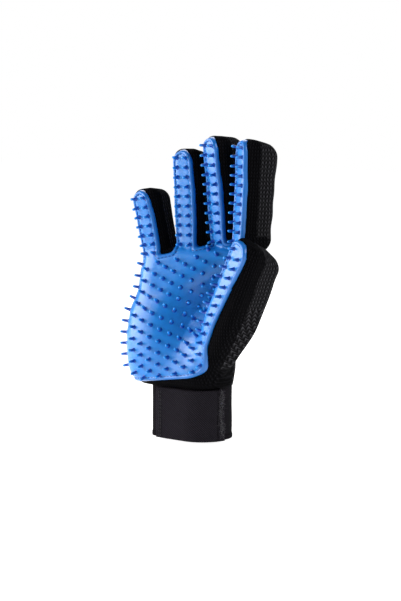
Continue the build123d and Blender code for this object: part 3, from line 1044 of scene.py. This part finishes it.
def finger_nub_seeds(d):
    low = PINKY_FIRST_ROW if d.name == "pinky" else FIRST_ROW_ABOVE_ROOT - ROOT_DEPTH
    high = d.tip - LAST_ROW_FROM_TIP
    rows = np.linspace(low, high, int(round((high - low) / NUB_PITCH)) + 1)
    columns = (STRIP_CENTRE - NUB_SPREAD, STRIP_CENTRE + NUB_SPREAD)
    return [(d.world(x, -d.half_y - SEED_OUT, s), d.y) for s in rows for x in columns]


def thumb_nub_seeds(d):
    rows = np.arange(THUMB_FIRST_ROW, d.tip - THUMB_LAST_ROW_FROM_TIP, THUMB_PITCH)
    spots = [(thumb_edge_at(s) - inset, s + shift) for inset, shift in THUMB_COLUMNS for s in rows]
    return [(d.world(x, -d.half_y - SEED_OUT, s), d.y) for x, s in spots]


def palm_nub_seeds():
    a = math.radians(PALM_LATTICE_DEG)
    one = np.array([math.cos(a), math.sin(a)]) * PALM_PITCH
    b = a + math.radians(60)
    two = np.array([math.cos(b), math.sin(b)]) * PALM_PITCH
    seeds = []
    for i in range(-18, 19):
        for j in range(-18, 19):
            u, z = one * i + two * j + np.array(PALM_LATTICE_AT)
            if not (46 < z < 152 and -50 < u < 46):
                continue
            cx, cy, hx, hy, _, turn = [float(c[0]) for c in palm_at(np.array([z]))]
            c, s = math.cos(math.radians(turn)), math.sin(math.radians(turn))
            y, inward = -hy - 8.0, np.array([-s, c, 0.0])
            if u < -hx + 7:
                # Off the palm's little-finger edge: come in from the side.
                y, u, inward = -hy * 0.5, u - 12.0, np.array([c, s, 0.0])
            seeds.append((np.array([cx + u * c - y * s, cy + u * s + y * c, z]), inward))
    return seeds


def contour(verts, quads, values, level):
    """Loops of points where a field on a mesh crosses a level."""
    values = values - level
    points, links = {}, {}
    crossing = (values[quads] < 0).any(1) & (values[quads] >= 0).any(1)
    for q in quads[crossing]:
        found = []
        for k in range(4):
            a, b = int(q[k]), int(q[(k + 1) % 4])
            if (values[a] < 0) != (values[b] < 0):
                key = (min(a, b), max(a, b))
                t = values[key[0]] / (values[key[0]] - values[key[1]])
                points[key] = verts[key[0]] * (1 - t) + verts[key[1]] * t
                found.append(key)
        for a, b in zip(found[::2], found[1::2]):
            links.setdefault(a, []).append(b)
            links.setdefault(b, []).append(a)
    loops, seen = [], set()
    for start in links:
        if start in seen:
            continue
        loop, key = [], start
        while key is not None and key not in seen:
            seen.add(key)
            loop.append(points[key])
            key = next((k for k in links[key] if k not in seen), None)
        if len(loop) > 12:
            loops.append(np.array(loop))
    return loops


def evenly(loop, pitch):
    """Points and directions at an even pitch along a loop."""
    if np.linalg.norm(loop[-1] - loop[0]) < pitch:
        loop = np.concatenate([loop, loop[:1]])
    length = np.concatenate([[0], np.cumsum(np.linalg.norm(np.diff(loop, axis=0), axis=1))])
    at = np.arange(0, length[-1] - pitch / 2, pitch)
    points = np.stack([np.interp(at, length, loop[:, k]) for k in range(3)], -1)
    ahead = np.stack([np.interp(at + pitch * 0.4, length, loop[:, k]) for k in range(3)], -1)
    return points, ahead - points


def pad_stitches(grid, outline, verts, quads):
    """Stitches in the groove, as copies: their vertices, quads and points."""
    edge = -grid.sample(outline, verts)
    outer = grid.sample(grid.hand, verts)[quads].min(1) > 0.8
    loops = [loop for loop in contour(verts, quads[outer], edge, STITCH_INSET) if len(loop) > 60]
    points, lead = (np.concatenate(part) for part in zip(*[evenly(loop, STITCH_PITCH) for loop in loops]))
    g = grid.gradient(grid.hand, points)
    out = g / np.linalg.norm(g, axis=1)[:, None]
    shape, shape_q = stitch_shape(3.4)
    v, q = place_copies(shape, shape_q, points - out * 0.05, out, lead)
    return v, q, np.repeat(points, len(shape_q), 0)


def pad_nubs(grid, outline):
    """The nubs as copies: their vertices, quads, points by face and heights by vertex."""
    seeds = [seed for name in FINGERS for seed in finger_nub_seeds(DIGITS[name])]
    seeds += thumb_nub_seeds(DIGITS["thumb"])
    firm = len(seeds)
    seeds += palm_nub_seeds()
    starts, inward = (np.array(part) for part in zip(*seeds))
    points, out = grid.settle(grid.hand, march(starts, inward, PAD_THICK), PAD_THICK)
    off = np.abs(grid.sample(grid.hand, points) - PAD_THICK)
    kept = []
    for k in np.nonzero((grid.sample(outline, points) < -NUB_FROM_EDGE) & (off < NUB_OFF_SKIN))[0]:
        # The palm's lattice gives way to the digits' rows, and to itself where it bunches up.
        if k < firm or not kept or np.linalg.norm(points[kept] - points[k], axis=1).min() >= NUB_GAP:
            kept.append(k)
    shape, quads = profile_mesh(NUB_RINGS, 12)
    lead = np.tile([[1.0, 0.0, 0.0]], (len(kept), 1))
    v, q = place_copies(shape, quads, points[kept], out[kept], lead)
    return v, q, np.repeat(points[kept], len(quads), 0), np.tile(shape[:, 2], len(kept))


def make_pad(grid, outline):
    values = pad_field(grid.hand, outline)
    verts, quads = largest(*surface_net(values, grid.low, grid.step))
    verts, _ = grid.settle(values, relax(verts, quads, 2, 0.4), rounds=2)
    tv, tq, thread_at = pad_stitches(grid, outline, verts, quads)
    nv, nq, nub_at, height = pad_nubs(grid, outline)
    parts = [
        (verts, quads, regions(verts[quads].mean(1)), 0, -grid.sample(outline, verts)),
        (nv, nq, regions(nub_at), 0, NUB_MARK - height),
        (tv, tq, regions(thread_at), 1, np.full(len(tv), 4.0)),
    ]
    all_v, all_edge = (np.concatenate([p[k] for p in parts]) for k in (0, 4))
    for index in np.unique(parts[0][2]):
        offset, faces, slots = 0, [], []
        for v, q, region, slot_index, _ in parts:
            faces.append(q[region == index] + offset)
            slots.append(np.full(len(faces[-1]), slot_index))
            offset += len(v)
        v, f, e = used(all_v, np.concatenate(faces), all_edge)
        slots = np.concatenate(slots)
        pad = build(f"pad_{region_name(index)}", v, f, [RUBBER, PAD_THREAD], slots, edge=e, rest=v)
        carry(pad, index)
        digit = digit_name(index)
        if index == 0:
            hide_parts("palm_pad", "palm_nubs")
        elif index % 2:
            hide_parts(f"{digit}_base_pad", f"{digit}_pad_bends")
        else:
            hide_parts(f"{digit}_tip_pad")


# ---------------------------------------------------------------- the cuff and its strap

CUFF_BOX = [np.array(c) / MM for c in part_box("wrist_band")]
STRAP_BOX = [np.array(c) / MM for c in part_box("strap")]
HOOK_BOX = [np.array(c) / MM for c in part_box("hook_patch")]
LOOP_BOX = [np.array(c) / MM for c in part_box("loop_patch")]
ANCHOR_BOX = [np.array(c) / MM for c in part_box("strap_anchor")]
CUFF_HALF = (CUFF_BOX[1][:2] - CUFF_BOX[0][:2]) / 2
CUFF_CORNER = 19.0
CUFF_WALL = 2.0
STRAP_IN, STRAP_OUT = 2.3, 4.1
SLIT = (-8.5, -3.5, 34.0)
FREE_END_DEG = 247.0


def outline_parts(grow):
    """The cuff's outline from the thumb side's middle: each part's length and whether it turns."""
    hx, hy, r = CUFF_HALF[0] + grow, CUFF_HALF[1] + grow, CUFF_CORNER + grow
    corner = (math.pi / 2 * r, True)
    straights = (hy - r, 2 * (hx - r), 2 * (hy - r), 2 * (hx - r), hy - r)
    return [part for length in straights for part in ((length, False), corner)][:-1], hx, r


def outline_point(grow, length):
    """Point and outward direction at a length along the cuff's outline."""
    parts, hx, r = outline_parts(grow)
    length = length % sum(size for size, _ in parts)
    heading, point, normal = np.array([0.0, -1.0]), np.array([hx, 0.0]), np.array([1.0, 0.0])
    for size, turns in parts:
        step = min(length, size)
        if turns:
            centre = point - normal * r
            c, s = math.cos(-step / r), math.sin(-step / r)
            rotate = np.array([[c, -s], [s, c]])
            normal, heading = rotate @ normal, rotate @ heading
            point = centre + normal * r
        else:
            point = point + heading * step
        length -= step
        if length <= 1e-9:
            break
    return point, normal


def outline_length(grow):
    hx, hy, r = CUFF_HALF[0] + grow, CUFF_HALF[1] + grow, CUFF_CORNER + grow
    return 4 * (hx - r) + 4 * (hy - r) + 2 * math.pi * r


def length_where(grow, test, step=0.2):
    """First length along the palmar side at which a point passes a test."""
    at = 0.0
    while at < outline_length(grow) and not test(*outline_point(grow, at)):
        at += step
    return at


def palm_length_at(grow, x):
    """Length at which the outline's palm side passes an X."""
    return length_where(grow, lambda p, n: n[1] < -0.5 and p[0] < x)


def free_end_length(grow):
    """Length at the strap's free end, on the little-finger corner of the palm side."""
    free = math.radians(FREE_END_DEG)
    return length_where(grow, lambda p, n: n[0] < 0 and math.atan2(n[1], n[0]) % (2 * math.pi) < free)


def band_sheet(grow, start, end, low, high, cell, swell=None):
    """A sheet standing around the cuff between two lengths and two heights."""
    across = max(int((end - start) / cell), 2)
    up = max(int((high - low) / cell), 2)
    heights = np.linspace(low, high, up + 1)
    verts, weave = [], []
    for a in np.linspace(start, end, across + 1):
        p, n = outline_point(grow, a)
        for z in heights:
            out = swell(a, z) if swell else 0.0
            verts.append((p[0] + n[0] * out, p[1] + n[1] * out, z))
            weave.append((a, z, 0.0))
    return np.array(verts), sheet_quads(across, up), np.array(weave)


def sheet_piece(name, sheet, wall, material, slot, body, *nodes):
    verts, quads, weave = sheet
    v, q = thicken(verts, quads, wall)
    obj = build(name, v, q, [material], weave=np.concatenate([weave, weave]), rest=v)
    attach(obj, body)
    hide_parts(*nodes)


def wrinkle(a, z):
    fold = 0.35 * math.sin(z / 4.6 + 1.3 * math.sin(a / 15.0)) * math.sin(a / 11.0)
    return fold + 0.15 * math.sin(a / 3.7 + z / 6.0)


BULGE = 2.8
BAND_LOW, BAND_OVER = 3.6, 0.6
HEM_LOW, HEM_HIGH, HEM_MIDDLE, HEM_SWELL = 0.8, 4.1, 2.1, 0.45
TAPE_WALL = 1.0
STRAP_BELOW, STRAP_ABOVE = 3.8, 0.8


def make_cuff():
    whole, free_at = outline_length(0), free_end_length(0)
    slit_a, slit_b = palm_length_at(0, SLIT[1]), palm_length_at(0, SLIT[0])

    def bulge(a):
        a = a % whole
        return BULGE * ramp(a, free_at - 1.0, free_at + 6.0) * (1 - ramp(a, whole * 0.72, whole * 0.9))

    def band_swell(a, z):
        return 0.3 * wrinkle(a, z) + bulge(a)

    def hem_swell(a, z):
        roll = math.sqrt(max(1 - ((z - HEM_MIDDLE) / 2.2) ** 2, 0))
        return 0.1 * wrinkle(a, z) + HEM_SWELL * roll + bulge(a)

    def around_slit(verts, quads, weave):
        centre = weave[quads].mean(1)
        gone = (centre[:, 0] > slit_a) & (centre[:, 0] < slit_b) & (centre[:, 1] < SLIT[2])
        return verts, quads[~gone], weave

    band = band_sheet(0, 0, whole, BAND_LOW, CUFF_BOX[1][2] + BAND_OVER, 1.3, band_swell)
    sheet_piece("cuff_band", around_slit(*band), CUFF_WALL, TWILL, "cuff_twill", "hand", "wrist_band")
    hem = band_sheet(0, slit_b, slit_a + whole, HEM_LOW, HEM_HIGH, 0.7, hem_swell)
    sheet_piece("cuff_hem", hem, CUFF_WALL + 0.3, TWILL, "cuff_twill", "hand", "band_hem")

    free = free_end_length(STRAP_IN)
    sewn = length_where(STRAP_OUT, lambda p, n: p[1] < STRAP_BOX[1][1])
    loops = band_sheet(1.0, palm_length_at(0, LOOP_BOX[1][0]), free_at, LOOP_BOX[0][2], LOOP_BOX[1][2], 1.4)
    sheet_piece("loop_tape", around_slit(*loops), TAPE_WALL, HOOKS, "hook_loop", "hand", "loop_patch")
    hook_start = palm_length_at(STRAP_IN, HOOK_BOX[1][0])
    hooks = band_sheet(STRAP_IN, hook_start, free, HOOK_BOX[0][2], HOOK_BOX[1][2], 1.4)
    sheet_piece("hook_tape", hooks, TAPE_WALL, HOOKS, "hook_loop", "strap", "hook_patch")

    def strap_swell(a, z):
        return 0.5 * wrinkle(a, z) + 0.35 * ramp(a, free - 6, free)

    low, high = STRAP_BOX[0][2] - STRAP_BELOW, STRAP_BOX[1][2] + STRAP_ABOVE
    strap = band_sheet(STRAP_OUT, sewn + 0.2, free, low, high, 1.1, strap_swell)
    sheet_piece("strap_tape", strap, STRAP_OUT - STRAP_IN, TAPE, "strap_twill", "strap", "strap")
    ends = [length_where(STRAP_OUT, lambda p, n, y=y: p[1] < y) for y in (ANCHOR_BOX[1][1], ANCHOR_BOX[0][1])]
    anchor = band_sheet(STRAP_OUT, *ends, low, high, 0.8, lambda a, z: 0.2 * wrinkle(a, z))
    sheet_piece("sewn_end", anchor, STRAP_OUT, TAPE, "strap_twill", "hand", "strap_anchor")
    return sewn, free, low


FIBRES, FIBRE_LENGTH, FIBRE_R = 420, 2.0, 0.085
FIBRE_RINGS, FIBRE_SIDES = 5, 4


def fibre_mesh(starts, directions):
    """Short curved threads, each a thin tapering tube."""
    verts, quads = [], []
    turn = np.arange(FIBRE_SIDES) * 2 * math.pi / FIBRE_SIDES
    for start, direction in zip(starts, directions):
        size = FIBRE_LENGTH * RANDOM.uniform(0.5, 1.3)
        bend = RANDOM.normal(0, 0.45, 3)
        base = len(verts)
        side = unit(np.cross(direction, RANDOM.normal(0, 1, 3)))
        other = np.cross(direction, side)
        for t in np.arange(FIBRE_RINGS) / (FIBRE_RINGS - 1):
            centre = start + direction * size * t + bend * size * t * t
            r = FIBRE_R * (1 - 0.6 * t)
            verts.extend(centre + r * (math.cos(a) * side + math.sin(a) * other) for a in turn)
        quads += tube_quads(FIBRE_RINGS, FIBRE_SIDES, base)
        last = base + (FIBRE_RINGS - 1) * FIBRE_SIDES
        quads.append(tuple(base + j for j in range(FIBRE_SIDES))[::-1])
        quads.append(tuple(last + j for j in range(FIBRE_SIDES)))
    return np.array(verts), np.array(quads)


FRAY_MIDDLE_Z, FRAY_LEAN = 24, 5.5
SEWING_COLUMNS = (3.2, 4.9)


def make_sewing(sewn, free, low):
    """The frayed seam beside the peel line, and the stitches along the strap's free end."""
    high = STRAP_BOX[1][2]
    starts, directions = [], []
    for _ in range(FIBRES):
        z = RANDOM.uniform(low + 2.2, high)
        lean = FRAY_LEAN * abs((z - FRAY_MIDDLE_Z) / 20) ** 1.3
        p, n = outline_point(STRAP_OUT + 0.1, sewn - 2.6 - lean * 0.3 + RANDOM.normal(0, 1.0))
        starts.append(np.array([p[0], p[1], z]))
        directions.append(unit(np.array([n[0] * 0.45, n[1] * 0.45, 0]) + RANDOM.normal(0, 0.6, 3)))
    fray = build("seam_fray", *fibre_mesh(starts, directions), [THREAD])
    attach(fray, "hand")
    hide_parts("anchor_stitches")

    points, normals = [], []
    for column in (free - inset for inset in SEWING_COLUMNS):
        for z in np.arange(low + 2, high - 1, 3.0):
            p, n = outline_point(STRAP_OUT + 0.35 + 0.5 * wrinkle(column, z), column)
            points.append((p[0], p[1], z))
            normals.append((n[0], n[1], 0.0))
    lead = np.tile([[0.0, 0.0, 1.0]], (len(points), 1))
    copies = place_copies(*stitch_shape(3.6), np.array(points), np.array(normals), lead)
    sewing = build("strap_sewing", *copies, [plain_material("strap_thread", (0.008, 0.008, 0.010), 0.8)])
    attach(sewing, "strap")
    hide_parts("strap_stitches")


# ---------------------------------------------------------------- light, floor and camera

STUDIO_MIDDLE = Vector((0, 0, 0.12))


def direction(azimuth, elevation):
    """Unit vector from the object: azimuth in degrees from -Y towards +X."""
    a, e = math.radians(azimuth), math.radians(elevation)
    return Vector((math.sin(a) * math.cos(e), -math.cos(a) * math.cos(e), math.sin(e)))


def place(name, data, location, out):
    obj = bpy.data.objects.new(name, data)
    bpy.context.scene.collection.objects.link(obj)
    obj.location = location
    obj.rotation_mode = "QUATERNION"
    obj.rotation_quaternion = (-out).to_track_quat("-Z", "Y")
    return obj


def area_light(name, azimuth, elevation, distance, size, power, color=(1, 1, 1)):
    data = bpy.data.lights.new(name, "AREA")
    data.shape = "RECTANGLE"
    data.size, data.size_y = size
    data.energy = power
    data.color = color
    out = direction(azimuth, elevation)
    place(name, data, STUDIO_MIDDLE + out * distance, out)


def make_studio():
    """A white backdrop for the camera, a dim sky for the light, and three soft boxes."""
    world = bpy.data.worlds.new("studio")
    bpy.context.scene.world = world
    world.use_nodes = True
    tree = world.node_tree
    tree.nodes.clear()
    out, mix, path, sky, backdrop = (tree.nodes.new(f"ShaderNode{kind}") for kind in (
        "OutputWorld", "MixShader", "LightPath", "Background", "Background"))
    sky.inputs[0].default_value, sky.inputs[1].default_value = (0.92, 0.95, 1, 1), 0.22
    backdrop.inputs[0].default_value, backdrop.inputs[1].default_value = (1, 1, 1, 1), 1.0
    for source, socket in ((path.outputs["Is Camera Ray"], mix.inputs[0]), (sky.outputs[0], mix.inputs[1]),
                           (backdrop.outputs[0], mix.inputs[2]), (mix.outputs[0], out.inputs[0])):
        tree.links.new(source, socket)

    area_light("key", -52, 14, 0.95, (0.9, 1.1), 22.0, (1.0, 0.95, 0.97))
    area_light("side", 105, 30, 1.1, (0.6, 0.6), 8.0)
    area_light("back", 215, 35, 1.1, (0.8, 0.8), 6.0)


FLOOR_HALF, FLOOR_CELLS, FLOOR_Z = 3.0, 24, -0.0002


def make_floor():
    n = FLOOR_CELLS
    xs = np.linspace(-FLOOR_HALF, FLOOR_HALF, n + 1)
    verts = np.array([(x, y, FLOOR_Z) for x in xs for y in xs]) / MM
    pale = Shader("pale_floor")
    pale.set(Base_Color=(0.5, 0.5, 0.5, 1), Roughness=0.9, Emission_Color=(1, 1, 1, 1), Emission_Strength=0.9)
    obj = build("floor", verts, sheet_quads(n, n)[:, ::-1], [pale.material])
    obj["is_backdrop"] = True


CAMERA_AZIMUTH, CAMERA_ELEVATION, CAMERA_DISTANCE = 40, 7, 1.5
CAMERA_RIGHT, CAMERA_UP = 0.0049, 0.103
CAMERA_LENS, CAMERA_SENSOR = 118.2, 36


def make_camera():
    back = direction(CAMERA_AZIMUTH, CAMERA_ELEVATION)
    a = math.radians(CAMERA_AZIMUTH)
    right = Vector((math.cos(a), math.sin(a), 0))
    data = bpy.data.cameras.new("camera")
    data.lens, data.sensor_width = CAMERA_LENS, CAMERA_SENSOR
    target = right * CAMERA_RIGHT + back.cross(right) * CAMERA_UP
    scene = bpy.context.scene
    scene.camera = place("camera", data, target + back * CAMERA_DISTANCE, back)
    scene.view_settings.view_transform = "Standard"


def main():
    # Steps and bands of the two grids, in millimetres.
    hand_grid = Grid(*HAND_BOX, 1.0, 3.2)
    make_knit(hand_grid, hand_grid.full(pad_outline))
    pad_grid = Grid(*HAND_BOX, 0.65, 3.6)
    make_pad(pad_grid, pad_grid.full(pad_outline))
    make_sewing(*make_cuff())
    make_studio()
    make_floor()
    make_camera()
    boxes = {"cad": CAD_BOX, "visual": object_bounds()}
    plain = {key: [[float(c) for c in corner] for corner in box] for key, box in boxes.items()}


main()
